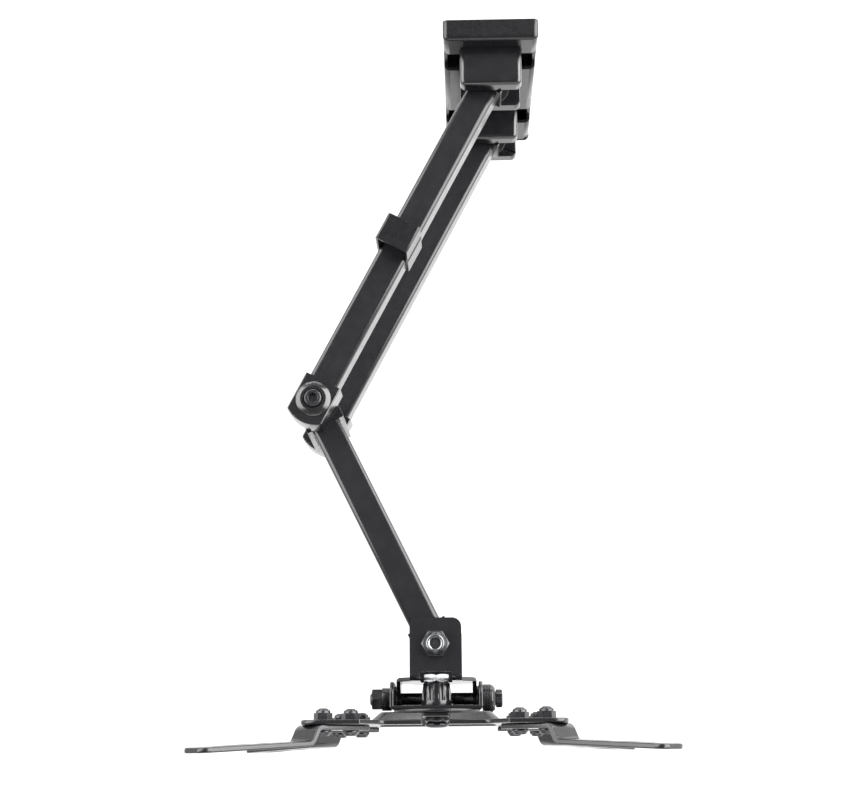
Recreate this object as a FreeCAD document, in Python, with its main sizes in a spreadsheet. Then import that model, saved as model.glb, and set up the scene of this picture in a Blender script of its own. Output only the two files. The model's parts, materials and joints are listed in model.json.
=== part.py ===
import FreeCAD, Part
import math
import os
import Sketcher

os.makedirs("parts", exist_ok=True)

# Full-motion TV wall mount in the pose of the photograph.
# Millimetres. Origin at the middle of the wall plate's back face, +Z up,
# +X to the right and +Y into the wall, so the arms reach out along -Y.

doc = FreeCAD.newDocument("tv_wall_mount")
sheet = doc.addObject("Spreadsheet::Sheet", "Sizes")

SIZES = [
    ("plate_width", 64.0, "wall plate, side to side"),
    ("plate_depth", 14.0, "wall plate, wall to front face"),
    ("plate_above", 13.0, "wall plate and cap above the upper hinge bracket"),
    ("plate_below", 26.0, "wall plate and cap below the lower hinge bracket"),
    ("plate_gauge", 2.5, "wall plate sheet"),
    ("plate_corner", 4.0, "bend radius at the front corners"),
    ("cap_height", 3.5, "end cap beyond the tube"),
    ("cap_overhang", 0.4, "end cap past the tube sides"),
    ("cap_plug", 7.0, "end cap inside the tube"),
    ("cap_round", 3.2, "rounded rim of an end cap"),
    ("window_depth", 5.0, "clearance window cut back from the front"),
    ("fixing_spacing", 30.0, "wall screw holes, centre to centre"),
    ("fixing_hole", 8.5, "wall screw hole"),
    ("fixing_boss", 18.0, "boss behind a wall screw hole, down to the wall"),
    ("bracket_width", 42.0, "hinge bracket, side to side"),
    ("bracket_reach", 27.0, "hinge bracket in front of the plate"),
    ("bracket_height", 48.0, "hinge bracket with both jaws"),
    ("bracket_corner", 4.0, "hinge bracket upright front corners"),
    ("bracket_round", 3.0, "hinge bracket top and bottom rims"),
    ("jaw_height", 11.0, "one hinge bracket jaw"),
    ("web_height", 40.0, "hinge bracket web behind the window"),
    ("web_gauge", 3.5, "hinge bracket web"),
    ("pin_diameter", 10.0, "hinge pins and the elbow and swivel bolts"),
    ("pin_head", 16.0, "head of a hinge pin"),
    ("pin_head_height", 4.0, "head of a hinge pin"),
    ("pin_cover", 4.0, "metal left above a hinge pin"),
    ("running_gap", 0.05, "radial clearance of a turning fit"),
    ("fixed_gap", 0.3, "radial clearance of a bolt that only clamps"),
    ("washer_height", 1.0, "nylon washers at the wall and the head"),
    ("wall_barrel", 16.4, "round eye of a rear arm on its hinge pin"),
    ("wall_washer", 26.6, "nylon washer in a hinge bracket"),
    ("tube_side", 20.0, "square tube"),
    ("tube_wall", 2.0, "square tube wall"),
    ("tube_corner", 3.0, "square tube corner"),
    ("spigot_length", 12.0, "end block inside the tube"),
    ("spigot_gap", 0.1, "end block to tube, each side"),
    ("rear_arm_length", 258.0, "wall hinge axis to elbow axis"),
    ("rear_arm_turn", 27.8, "rear arm from straight out, to the left"),
    ("front_arm_length", 177.2, "elbow axis to head axis"),
    ("front_arm_turn", 26.3, "front arm from straight out, to the right"),
    ("wall_plate_gap", 0.3, "rear arm end plate to the bracket web, arm folded"),
    ("wall_end_gauge", 3.0, "end plate welded across a rear arm tube"),
    ("wall_knuckle_tail", 10.8, "wall hinge axis to tube"),
    ("elbow_block_width", 25.4, "elbow block on a rear arm"),
    ("elbow_block_height", 22.0, "elbow block on a rear arm"),
    ("elbow_block_tail", 14.0, "elbow block, axis to tube"),
    ("elbow_block_nose", 13.0, "elbow block, axis to front corners"),
    ("elbow_block_bulge", 4.0, "elbow block, bow of the front face"),
    ("front_knuckle_width", 26.8, "end block on the front arms"),
    ("front_knuckle_height", 71.0, "end block on the front arms"),
    ("front_knuckle_tail", 14.0, "same block, axis to tubes"),
    ("elbow_nose", 10.0, "same block at the elbow, axis to corners"),
    ("elbow_nose_bulge", 2.5, "same block at the elbow, bow of the end"),
    ("knuckle_side", 3.2, "cheek beside the tunnel in the block"),
    ("elbow_washer", 25.0, "nylon washer at the elbow"),
    ("elbow_washer_height", 1.5, "nylon washer at the elbow"),
    ("cup_diameter", 23.3, "cup washer on the elbow"),
    ("cup_top", 17.0, "cup washer at its top"),
    ("cup_height", 2.6, "cup washer"),
    ("elbow_head", 11.4, "round head of the elbow bolt"),
    ("elbow_head_height", 3.0, "head of the elbow bolt above the cup washer"),
    ("socket_flats", 6.0, "hex socket across flats"),
    ("socket_depth", 3.0, "hex socket"),
    ("nut_flats", 16.0, "M10 nut across flats"),
    ("nut_height", 8.4, "M10 nut"),
    ("nut_collar", 15.0, "round collar of the lock nut on the swivel bolt"),
    ("swivel_head_height", 6.4, "head of the swivel bolt"),
    ("clip_start", 126.5, "cable clip from the wall hinge axis"),
    ("clip_length", 19.5, "cable clip along the arm"),
    ("clip_rise", 20.0, "cable clip above the tube, with the cables' room"),
    ("clip_wall", 1.8, "cable clip wall"),
    ("clip_lip", 9.0, "lip of the clip under the tube"),
    ("swivel_gauge", 2.6, "swivel bracket sheet"),
    ("flange_width", 33.6, "swivel bracket flange"),
    ("flange_back", 17.0, "flange behind the head axis"),
    ("flange_corner", 6.0, "flange corner"),
    ("swivel_web", 20.4, "head axis to the swivel bracket web"),
    ("swivel_web_width", 52.6, "swivel bracket web"),
    ("swivel_web_height", 44.0, "wide part of the web"),
    ("bend_radius", 4.5, "outer bend of the folded sheets"),
    ("notch_width", 20.8, "window for the level bolt nuts"),
    ("notch_floor", 4.0, "bottom of that window above the middle"),
    ("notch_reach", 2.8, "notch into the top flange behind the web"),
    ("tilt_axis", 33.6, "head axis to tilt axis"),
    ("cheek_end", 7.0, "rounded end of a swivel bracket cheek"),
    ("rod_diameter", 8.0, "tilt bolt"),
    ("tilt_gauge", 2.5, "tilt frame sheet"),
    ("tilt_washer_height", 1.35, "friction washer between the cheeks"),
    ("tilt_washer", 17.0, "friction washer between the cheeks"),
    ("tilt_web", 38.5, "head axis to the tilt frame web"),
    ("tilt_web_gauge", 2.5, "tilt frame web"),
    ("tilt_top", 31.0, "top of the tilt frame"),
    ("tilt_web_floor", 8.0, "lower edge of the tilt frame web"),
    ("tilt_bottom", 10.0, "tilt frame cheek below the axis"),
    ("tilt_back", 23.0, "head axis to the wall side of its cheeks"),
    ("spacer_length", 6.3, "spacer on the left of the tilt bolt"),
    ("spacer_diameter", 15.0, "spacer on the left of the tilt bolt"),
    ("tilt_nut_flats", 13.0, "M8 nut across flats"),
    ("tilt_nut_height", 6.8, "M8 nut"),
    ("knob_diameter", 18.4, "round tilt knob"),
    ("knob_length", 8.4, "round tilt knob"),
    ("tilt_head_flats", 9.0, "hex head of the tilt bolt"),
    ("tilt_head_height", 4.8, "hex head of the tilt bolt"),
    ("level_height", 16.0, "level axis above the middle"),
    ("cone_small", 17.5, "fluted level nut, wall end"),
    ("cone_large", 21.0, "fluted level nut, TV end"),
    ("cone_length", 15.05, "fluted level nut"),
    ("lock_nut_height", 5.2, "zinc lock nut"),
    ("level_head", 15.4, "button head of the level bolt"),
    ("level_head_height", 5.5, "button head of the level bolt"),
    ("disc_diameter", 56.0, "friction disc"),
    ("disc_height", 2.0, "friction disc"),
    ("vesa_gauge", 2.8, "TV plate sheet"),
    ("vesa_half", 81.5, "TV plate, middle to edge"),
    ("vesa_corner", 10.0, "TV plate ear corner"),
    ("vesa_waist", 52.0, "TV plate, middle to a notched edge"),
    ("vesa_ear", 45.0, "TV plate, middle to the start of an ear"),
    ("vesa_waist_half", 34.0, "TV plate, half length of a notched edge"),
    ("pan_half", 35.0, "pressed pan at its floor"),
    ("pan_rim", 41.0, "pressed pan at its rim"),
    ("pan_round", 3.2, "rounded edge of the pan floor"),
    ("pan_depth", 5.4, "pressed pan"),
    ("pan_notch", 16.4, "notch for the head of the level bolt"),
    ("pan_notch_floor", 26.0, "TV plate, middle to the foot of that notch"),
    ("strip_width", 22.0, "adapter arm"),
    ("strip_gauge", 3.2, "adapter arm"),
    ("strip_inner", 67.0, "middle to the inner end of an adapter arm"),
    ("strip_bend", 108.5, "middle to the first bend"),
    ("strip_run", 5.0, "first bend to second bend"),
    ("strip_bend_radius", 6.0, "outer radius of the adapter arm bends"),
    ("strip_drop", 9.6, "offset of the outer length"),
    ("strip_outer", 193.5, "middle to the tip of an adapter arm"),
    ("strip_lean", 3.6, "lean of the outer length at its tip"),
    ("strip_corner", 6.0, "adapter arm tip corner"),
    ("screw_inner", 52.5, "inner adapter screw, sideways and up"),
    ("screw_outer", 68.3, "outer adapter screw, sideways and up"),
    ("screw_diameter", 6.0, "adapter screw"),
    ("screw_head", 10.5, "button head of an adapter screw"),
    ("screw_head_height", 3.4, "button head of an adapter screw"),
    ("screw_nut_flats", 10.0, "adapter nut across flats"),
    ("screw_nut_height", 6.2, "adapter nut with its collar"),
    ("vesa_pitch", 200.0, "TV screw holes, square pattern"),
    ("vesa_hole", 7.0, "TV screw hole"),
    ("slot_start", 157.0, "middle to the near end of a slot"),
    ("slot_length", 18.0, "slot between its end centres"),
    ("edge_break", 0.8, "small rounding"),
]

sheet.set("A1", "size")
sheet.set("B1", "millimetres or degrees")
sheet.set("C1", "what it is")
for row, (alias, number, note) in enumerate(SIZES, start=2):
    sheet.set("A%d" % row, alias)
    sheet.set("B%d" % row, "%g" % number)
    sheet.setAlias("B%d" % row, alias)
    sheet.set("C%d" % row, note)
doc.recompute()


class Size:
    """A number together with the expression that gives it from the sheet."""

    def __init__(self, value, text):
        self.value = float(value)
        self.text = text

    def __add__(self, other):
        other = as_size(other)
        return Size(self.value + other.value, "(%s + %s)" % (self.text, other.text))

    def __sub__(self, other):
        other = as_size(other)
        return Size(self.value - other.value, "(%s - %s)" % (self.text, other.text))

    def __mul__(self, other):
        other = as_size(other)
        return Size(self.value * other.value, "(%s * %s)" % (self.text, other.text))

    def __truediv__(self, other):
        other = as_size(other)
        return Size(self.value / other.value, "(%s / %s)" % (self.text, other.text))

    def __neg__(self):
        return Size(-self.value, "(0 - %s)" % self.text)

    def __radd__(self, other):
        return as_size(other) + self

    def __rsub__(self, other):
        return as_size(other) - self

    def __rmul__(self, other):
        return as_size(other) * self


def as_size(thing):
    if isinstance(thing, Size):
        return thing
    return Size(thing, "%g" % thing)


def sine(angle):
    return Size(math.sin(math.radians(angle.value)), "sin(%s * 1 deg)" % angle.text)


def cosine(angle):
    return Size(math.cos(math.radians(angle.value)), "cos(%s * 1 deg)" % angle.text)


class Book:
    """Looks a size up in the sheet by its alias."""

    def __getattr__(self, alias):
        return Size(float(sheet.get(alias)), "Sizes.%s" % alias)


S = Book()
ZERO = Size(0, "0")

# Heights that follow from the stack at the elbow.
knuckle_top = S.front_knuckle_height / 2
arm_level = knuckle_top + S.elbow_washer_height + S.elbow_block_height / 2
front_level = knuckle_top - S.tube_side / 2
plate_top = arm_level + S.bracket_height / 2 + S.plate_above
plate_bottom = -arm_level - S.bracket_height / 2 - S.plate_below

# Joint positions, from the arm lengths and the pose in the photograph.
wall_pivot = S.plate_depth + S.bracket_reach / 2
elbow_x = -(S.rear_arm_length * sine(S.rear_arm_turn))
elbow_y = -(S.rear_arm_length * cosine(S.rear_arm_turn)) - wall_pivot
head_x = elbow_x + S.front_arm_length * sine(S.front_arm_turn)
head_y = elbow_y - S.front_arm_length * cosine(S.front_arm_turn)
PLACES = {
    "wall": (ZERO, ZERO, ZERO),
    "wall hinge": (ZERO, -wall_pivot, -S.rear_arm_turn),
    "rear elbow": (elbow_x, elbow_y, -S.rear_arm_turn),
    "front elbow": (elbow_x, elbow_y, S.front_arm_turn),
    "front head": (head_x, head_y, S.front_arm_turn),
    "head": (head_x, head_y, ZERO),
}


def place(thing, spot, height=ZERO, turn=None, along=None):
    """Puts a body at a joint; turn is a fixed (axis, degrees) in place of the arm's."""
    x, y, angle = PLACES[spot]
    if along is not None:
        x = x + along[0]
        y = y + along[1]
    if turn is None:
        rotation = FreeCAD.Rotation(FreeCAD.Vector(0, 0, 1), 1.0)
    else:
        rotation = FreeCAD.Rotation(FreeCAD.Vector(*turn[0]), turn[1])
    thing.Placement = FreeCAD.Placement(FreeCAD.Vector(0, 0, 0), rotation)
    thing.setExpression("Placement.Base.x", x.text)
    thing.setExpression("Placement.Base.y", y.text)
    thing.setExpression("Placement.Base.z", as_size(height).text)
    if turn is None:
        thing.setExpression("Placement.Rotation.Angle", angle.text)
    return thing


def plane(body, role):
    for feature in body.Origin.OriginFeatures:
        if feature.Role == role:
            return feature
    raise ValueError(role)


class Drawing:
    """One sketch on a plane of its body; every point is bound to the sheet."""

    def __init__(self, body, role, offset, label):
        self.sketch = body.newObject("Sketcher::SketchObject", label)
        self.sketch.AttachmentSupport = [(plane(body, role), "")]
        self.sketch.MapMode = "FlatFace"
        offset = as_size(offset)
        if offset.text != "0":
            self.sketch.setExpression("AttachmentOffset.Base.z", offset.text)

    def bind(self, constraint, size):
        index = self.sketch.addConstraint(constraint)
        self.sketch.setExpression("Constraints[%d]" % index, size.text)

    def pin_point(self, geometry, end, x, y):
        x = as_size(x)
        y = as_size(y)
        if x.text == "0":
            self.sketch.addConstraint(Sketcher.Constraint("PointOnObject", geometry, end, -2))
        else:
            self.bind(Sketcher.Constraint("DistanceX", -1, 1, geometry, end, x.value), x)
        if y.text == "0":
            self.sketch.addConstraint(Sketcher.Constraint("PointOnObject", geometry, end, -1))
        else:
            self.bind(Sketcher.Constraint("DistanceY", -1, 1, geometry, end, y.value), y)

    def polygon(self, points):
        points = [(as_size(x), as_size(y)) for x, y in points]
        first = self.sketch.GeometryCount
        count = len(points)
        for index in range(count):
            x0, y0 = points[index]
            x1, y1 = points[(index + 1) % count]
            start = FreeCAD.Vector(x0.value, y0.value, 0)
            end = FreeCAD.Vector(x1.value, y1.value, 0)
            self.sketch.addGeometry(Part.LineSegment(start, end), False)
        for index in range(count):
            follower = first + (index + 1) % count
            self.sketch.addConstraint(Sketcher.Constraint("Coincident", first + index, 2, follower, 1))
        for index in range(count):
            self.pin_point(first + index, 1, points[index][0], points[index][1])

    def box(self, x0, y0, x1, y1):
        self.polygon([(x0, y0), (x1, y0), (x1, y1), (x0, y1)])

    def circle(self, x, y, radius):
        x = as_size(x)
        y = as_size(y)
        centre = FreeCAD.Vector(x.value, y.value, 0)
        index = self.sketch.addGeometry(Part.Circle(centre, FreeCAD.Vector(0, 0, 1), radius.value), False)
        self.pin_point(index, 3, x, y)
        self.bind(Sketcher.Constraint("Radius", index, radius.value), radius)

    def hexagon(self, x, y, flats, corner_up=False):
        half = flats / 2
        corner = half * 1.1547005
        points = []
        points.append((x - corner / 2, y - half))
        points.append((x + corner / 2, y - half))
        points.append((x + corner, y))
        points.append((x + corner / 2, y + half))
        points.append((x - corner / 2, y + half))
        points.append((x - corner, y))
        if corner_up:
            points = [(v, u) for u, v in reversed(points)]
        self.polygon(points)

    def slot(self, x0, x1, radius):
        """A slot along the sketch's X axis, given by its end centres."""
        first = self.sketch.GeometryCount
        up = FreeCAD.Vector(0, 0, 1)
        left = Part.Circle(FreeCAD.Vector(x0.value, 0, 0), up, radius.value)
        right = Part.Circle(FreeCAD.Vector(x1.value, 0, 0), up, radius.value)
        self.sketch.addGeometry(Part.ArcOfCircle(left, math.pi / 2, 3 * math.pi / 2), False)
        self.sketch.addGeometry(Part.ArcOfCircle(right, -math.pi / 2, math.pi / 2), False)
        low_start = FreeCAD.Vector(x0.value, -radius.value, 0)
        low_end = FreeCAD.Vector(x1.value, -radius.value, 0)
        self.sketch.addGeometry(Part.LineSegment(low_start, low_end), False)
        high_start = FreeCAD.Vector(x1.value, radius.value, 0)
        high_end = FreeCAD.Vector(x0.value, radius.value, 0)
        self.sketch.addGeometry(Part.LineSegment(high_start, high_end), False)
        self.sketch.addConstraint(Sketcher.Constraint("Tangent", first, 2, first + 2, 1))
        self.sketch.addConstraint(Sketcher.Constraint("Tangent", first + 2, 2, first + 1, 1))
        self.sketch.addConstraint(Sketcher.Constraint("Tangent", first + 1, 2, first + 3, 1))
        self.sketch.addConstraint(Sketcher.Constraint("Tangent", first + 3, 2, first, 1))
        self.pin_point(first, 3, x0, 0)
        self.pin_point(first + 1, 3, x1, 0)
        self.bind(Sketcher.Constraint("Radius", first, radius.value), radius)

    def tongue(self, half, tail, nose, bulge, sign):
        """Straight sides from the tail to the nose corners, and a bowed end beyond them."""
        radius = (half * half + bulge * bulge) / (bulge * 2)
        centre_y = nose.value + sign * (bulge.value - radius.value)
        rise = math.atan2(nose.value - centre_y, half.value)
        circle = Part.Circle(FreeCAD.Vector(0, centre_y, 0), FreeCAD.Vector(0, 0, 1), radius.value)
        if sign > 0:
            arc = Part.ArcOfCircle(circle, rise, math.pi - rise)
            corner_x = [half, -half]
        else:
            arc = Part.ArcOfCircle(circle, math.pi - rise, 2 * math.pi + rise)
            corner_x = [-half, half]
        ends = []
        ends.append((corner_x[1], nose))
        ends.append((corner_x[1], tail))
        ends.append((corner_x[0], tail))
        ends.append((corner_x[0], nose))
        for index in range(3):
            start = FreeCAD.Vector(ends[index][0].value, ends[index][1].value, 0)
            end = FreeCAD.Vector(ends[index + 1][0].value, ends[index + 1][1].value, 0)
            self.sketch.addGeometry(Part.LineSegment(start, end), False)
        self.sketch.addGeometry(arc, False)
        self.sketch.addConstraint(Sketcher.Constraint("Coincident", 0, 2, 1, 1))
        self.sketch.addConstraint(Sketcher.Constraint("Coincident", 1, 2, 2, 1))
        self.sketch.addConstraint(Sketcher.Constraint("Coincident", 2, 2, 3, 1))
        self.sketch.addConstraint(Sketcher.Constraint("Coincident", 3, 2, 0, 1))
        self.pin_point(0, 1, ends[0][0], ends[0][1])
        self.pin_point(1, 1, ends[1][0], ends[1][1])
        self.pin_point(2, 1, ends[2][0], ends[2][1])
        self.pin_point(3, 1, ends[3][0], ends[3][1])
        middle_y = nose + (bulge - radius) * sign
        self.bind(Sketcher.Constraint("DistanceY", -1, 1, 3, 3, middle_y.value), middle_y)


def new_body(name):
    return doc.addObject("PartDesign::Body", name)


def pad(body, label, role, offset, draw, length):
    """Adds material from the offset plane along the plane's normal."""
    drawing = Drawing(body, role, offset, body.Name + "_" + label + "_sketch")
    draw(drawing)
    feature = body.newObject("PartDesign::Pad", body.Name + "_" + label)
    feature.Profile = drawing.sketch
    feature.setExpression("Length", as_size(length).text)
    body.Tip = feature
    return feature


def cut(body, label, role, offset, draw, length):
    """Removes material from the offset plane along the plane's normal."""
    drawing = Drawing(body, role, offset, body.Name + "_" + label + "_sketch")
    draw(drawing)
    feature = body.newObject("PartDesign::Pocket", body.Name + "_" + label)
    feature.Profile = drawing.sketch
    feature.Reversed = True
    feature.setExpression("Length", as_size(length).text)
    body.Tip = feature
    return feature


def turn_profile(body, label, points, groove=False):
    """Turns a closed (radius, height) outline about the body's upright axis."""
    drawing = Drawing(body, "XZ_Plane", 0, body.Name + "_" + label + "_sketch")
    drawing.polygon(points)
    kind = "PartDesign::Groove" if groove else "PartDesign::Revolution"
    feature = body.newObject(kind, body.Name + "_" + label)
    feature.Profile = drawing.sketch
    feature.ReferenceAxis = (drawing.sketch, ["V_Axis"])
    feature.Angle = 360
    body.Tip = feature
    return feature


def soften(body, label, radius, chosen, chamfer=False):
    """Rounds or bevels the edges that the chosen test accepts."""
    doc.recompute()
    base = body.Tip
    names = []
    for index, edge in enumerate(base.Shape.Edges):
        if chosen(edge):
            names.append("Edge%d" % (index + 1))
    if not names:
        raise ValueError("no edges for " + body.Name + " " + label)
    kind = "PartDesign::Chamfer" if chamfer else "PartDesign::Fillet"
    feature = body.newObject(kind, body.Name + "_" + label)
    feature.Base = (base, names)
    feature.setExpression("Size" if chamfer else "Radius", as_size(radius).text)
    body.Tip = feature
    return feature


def runs(edge, axis):
    """True for a straight edge along the axis."""
    if len(edge.Vertexes) != 2:
        return False
    if edge.Curve.TypeId != "Part::GeomLine":
        return False
    step = edge.Vertexes[1].Point - edge.Vertexes[0].Point
    others = [abs(step.x), abs(step.y), abs(step.z)]
    length = others.pop("xyz".index(axis))
    return length > 1e-6 and max(others) < 1e-6


def near(value, size, slack=0.01):
    return abs(value - as_size(size).value) < slack


def middle(edge):
    return edge.CenterOfMass


def compound(name, things):
    group = doc.addObject("Part::Compound", name)
    group.Links = things
    return group


def mirrored(name, source, normal, base):
    other = doc.addObject("Part::Mirroring", name)
    other.Source = source
    other.Normal = FreeCAD.Vector(*normal)
    for axis, size in zip("xyz", base):
        size = as_size(size)
        if size.text != "0":
            other.setExpression("Base." + axis, size.text)
    return other


def ring(name, outer, inner, height, spot, level, turn=None, along=None):
    """A flat washer whose lower face is at the level."""
    body = new_body(name)

    def draw(d):
        d.circle(0, 0, outer / 2)
        d.circle(0, 0, inner)

    pad(body, "disc", "XY_Plane", 0, draw, height)
    place(body, spot, level, turn, along)
    return body


def nut(name, flats, height, bore, spot, level, turn=None, along=None, corner_up=False):
    """A hex nut with both ends bevelled, its lower face at the level."""
    body = new_body(name)

    def draw(d):
        d.hexagon(ZERO, ZERO, flats, corner_up)
        d.circle(0, 0, bore)

    pad(body, "hex", "XY_Plane", 0, draw, height)
    inside = flats / 2 * 0.97
    outside = flats / 2 * 1.25
    drop = (outside - inside) * 0.5773503
    low = [(inside, -0.01 + ZERO), (outside, -0.01 + ZERO), (outside, drop)]
    turn_profile(body, "lower_bevel", low, True)
    high = [(inside, height + 0.01), (outside, height - drop), (outside, height + 0.01)]
    turn_profile(body, "upper_bevel", high, True)
    place(body, spot, level, turn, along)
    return body


NODES = {}


def keep(name, thing):
    NODES[name] = thing
    return thing


# Wall plate: a flat rectangular tube with crush tubes round the screw holes.
tube_top = plate_top - S.cap_height
tube_bottom = plate_bottom + S.cap_height
jaw_gap = S.bracket_height - S.jaw_height * 2
wide = S.plate_width / 2
thin = wide - S.plate_gauge
front = -S.plate_depth
skin = S.plate_gauge - S.plate_depth

wall_plate = new_body("wall_plate")


def draw_plate_tube(d):
    d.box(-wide, front, wide, 0)
    d.box(-thin, skin, thin, -S.plate_gauge)


pad(wall_plate, "tube", "XY_Plane", tube_bottom, draw_plate_tube, tube_top - tube_bottom)
soften(wall_plate, "front_corners", S.plate_corner,
       lambda e: runs(e, "z") and near(e.CenterOfMass.y, front))


def draw_windows(d):
    for sign in (1, -1):
        level = arm_level * sign
        d.box(front - 1, level - jaw_gap / 2, front + S.window_depth, level + jaw_gap / 2)


cut(wall_plate, "clearance_windows", "YZ_Plane", -wide - 1, draw_windows, wide * 2 + 2)


def draw_web_slots(d):
    half = S.bracket_width / 2 + S.fixed_gap
    for sign in (1, -1):
        level = arm_level * sign
        tall = S.web_height / 2 + S.fixed_gap
        d.box(-half, level - tall, half, level + tall)


cut(wall_plate, "bracket_slots", "XZ_Plane", -skin - 1, draw_web_slots, S.plate_gauge + 2)


def draw_fixing_bosses(d):
    d.circle(0, S.fixing_spacing / 2, S.fixing_boss / 2)
    d.circle(0, -S.fixing_spacing / 2, S.fixing_boss / 2)


def draw_fixing_holes(d):
    d.circle(0, S.fixing_spacing / 2, S.fixing_hole / 2)
    d.circle(0, -S.fixing_spacing / 2, S.fixing_hole / 2)


pad(wall_plate, "fixing_bosses", "XZ_Plane", 0, draw_fixing_bosses, S.plate_depth - 0.5)
cut(wall_plate, "fixing_holes", "XZ_Plane", Size(-1, "-1"), draw_fixing_holes, S.plate_depth + 2)
keep("wall_plate", wall_plate)

# End caps.
top_end_cap = new_body("top_end_cap")


def draw_cap(d):
    reach = wide + S.cap_overhang
    d.box(-reach, front - S.cap_overhang, reach, 0)


def draw_plug(d):
    half = thin - S.fixed_gap
    d.box(-half, skin + S.fixed_gap, half, -S.plate_gauge - S.fixed_gap)


def draw_plug_hollow(d):
    half = thin - S.fixed_gap - S.clip_wall
    back = -S.plate_gauge - S.fixed_gap - S.clip_wall
    d.box(-half, skin + S.fixed_gap + S.clip_wall, half, back)


pad(top_end_cap, "lid", "XY_Plane", tube_top, draw_cap, S.cap_height)
soften(top_end_cap, "lid_corners", S.plate_corner,
       lambda e: runs(e, "z") and near(e.CenterOfMass.y, front - S.cap_overhang))
soften(top_end_cap, "lid_edge", S.cap_round,
       lambda e: near(e.CenterOfMass.z, tube_top + S.cap_height)
       and e.BoundBox.YMin < -0.5)
pad(top_end_cap, "plug", "XY_Plane", tube_top - S.cap_plug, draw_plug, S.cap_plug)
cut(top_end_cap, "plug_hollow", "XY_Plane", tube_top - S.cap_plug - 1, draw_plug_hollow,
    S.cap_plug)
keep("top_end_cap", top_end_cap)
plate_middle = (plate_top + plate_bottom) / 2
keep("bottom_end_cap", mirrored("bottom_end_cap", top_end_cap, (0, 0, 1), (0, 0, plate_middle)))

# Hinge brackets: two jaws and a web that stands in the plate's window.
jaw_front = front - S.bracket_reach
pin_hole = S.pin_diameter / 2 + S.running_gap
bracket_half = S.bracket_width / 2


def make_hinge_bracket(name, level):
    body = new_body(name)
    tall = S.bracket_height / 2
    gap = jaw_gap / 2
    back = front + S.web_gauge
    web = S.web_height / 2

    def draw_side(d):
        d.polygon([(jaw_front, -tall), (front, -tall), (front, -web), (back, -web),
                   (back, web), (front, web), (front, tall), (jaw_front, tall),
                   (jaw_front, gap), (front, gap), (front, -gap), (jaw_front, -gap)])

    pad(body, "block", "YZ_Plane", -bracket_half, draw_side, S.bracket_width)
    soften(body, "corners", S.bracket_corner,
           lambda e: runs(e, "z") and near(e.CenterOfMass.y, jaw_front))
    soften(body, "edges", S.bracket_round,
           lambda e: near(abs(e.CenterOfMass.z), tall) and e.BoundBox.YMin < front.value - 0.5
           and not near(e.CenterOfMass.y, front))

    def draw_hole(d):
        d.circle(0, -wall_pivot, pin_hole)

    cut(body, "pin_hole", "XY_Plane", -tall - 1, draw_hole, S.bracket_height + 1 - S.pin_cover)
    place(body, "wall", level)
    return keep(name, body)


make_hinge_bracket("upper_hinge_bracket", arm_level)
make_hinge_bracket("lower_hinge_bracket", -arm_level)


def make_hinge_pin(name, level):
    body = new_body(name)
    shank = S.pin_diameter / 2
    head = S.pin_head / 2
    low = -(S.bracket_height / 2)
    top = S.bracket_height / 2 - S.pin_cover - 0.5
    turn_profile(body, "pin", [
        (ZERO, low - S.pin_head_height), (head - 1.2, low - S.pin_head_height),
        (head, low - S.pin_head_height + 1.2), (head, low), (shank, low),
        (shank, top - 0.6), (shank - 0.6, top), (ZERO, top)])

    def draw_socket(d):
        d.hexagon(ZERO, ZERO, S.socket_flats)

    cut(body, "socket", "XY_Plane", low - S.pin_head_height - 1, draw_socket, S.socket_depth + 1)
    place(body, "wall hinge", level)
    return body


keep("wall_hinge_pins", compound("wall_hinge_pins", [
    make_hinge_pin("upper_pin", arm_level),
    make_hinge_pin("lower_pin", -arm_level)]))

washers = []
for label, level in (("a", arm_level + jaw_gap / 2 - S.washer_height),
                     ("b", arm_level - jaw_gap / 2),
                     ("c", -arm_level + jaw_gap / 2 - S.washer_height),
                     ("d", -arm_level - jaw_gap / 2)):
    washers.append(ring("wall_washer_" + label, S.wall_washer, S.pin_diameter / 2 + S.fixed_gap,
                        S.washer_height, "wall hinge", level))
keep("wall_hinge_washers", compound("wall_hinge_washers", washers))

# Rear arms: an end block in the wall hinge, a square tube and an elbow block.
tube_half = S.tube_side / 2
tube_inner = tube_half - S.tube_wall
spigot_half = tube_inner - S.spigot_gap
wall_knuckle_height = jaw_gap - S.washer_height * 2


def make_wall_knuckle(name, level):
    body = new_body(name)
    half = S.bracket_reach / 2 - S.wall_plate_gap
    tall = wall_knuckle_height / 2
    eye = S.wall_barrel / 2
    plate_start = S.wall_knuckle_tail - S.wall_end_gauge

    def draw_eye(d):
        d.circle(0, 0, eye)

    pad(body, "eye", "XY_Plane", -tall, draw_eye, wall_knuckle_height)

    def draw_neck(d):
        d.box(-eye, -plate_start - 0.5, eye, 0)

    pad(body, "neck", "XY_Plane", -tall, draw_neck, wall_knuckle_height)

    def draw_end_plate(d):
        d.box(-half, -tall, half, tall)

    pad(body, "end_plate", "XZ_Plane", plate_start, draw_end_plate, S.wall_end_gauge)

    def draw_spigot(d):
        d.box(-spigot_half, -spigot_half, spigot_half, spigot_half)

    pad(body, "spigot", "XZ_Plane", S.wall_knuckle_tail, draw_spigot, S.spigot_length)
    soften(body, "plate_corners", S.edge_break,
           lambda e: runs(e, "y") and near(abs(e.CenterOfMass.x), half)
           and near(abs(e.CenterOfMass.z), tall))

    def draw_hole(d):
        d.circle(0, 0, pin_hole)

    cut(body, "pin_hole", "XY_Plane", -(wall_knuckle_height / 2) - 1, draw_hole,
        wall_knuckle_height + 2)
    place(body, "wall hinge", level)
    return keep(name, body)


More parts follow.
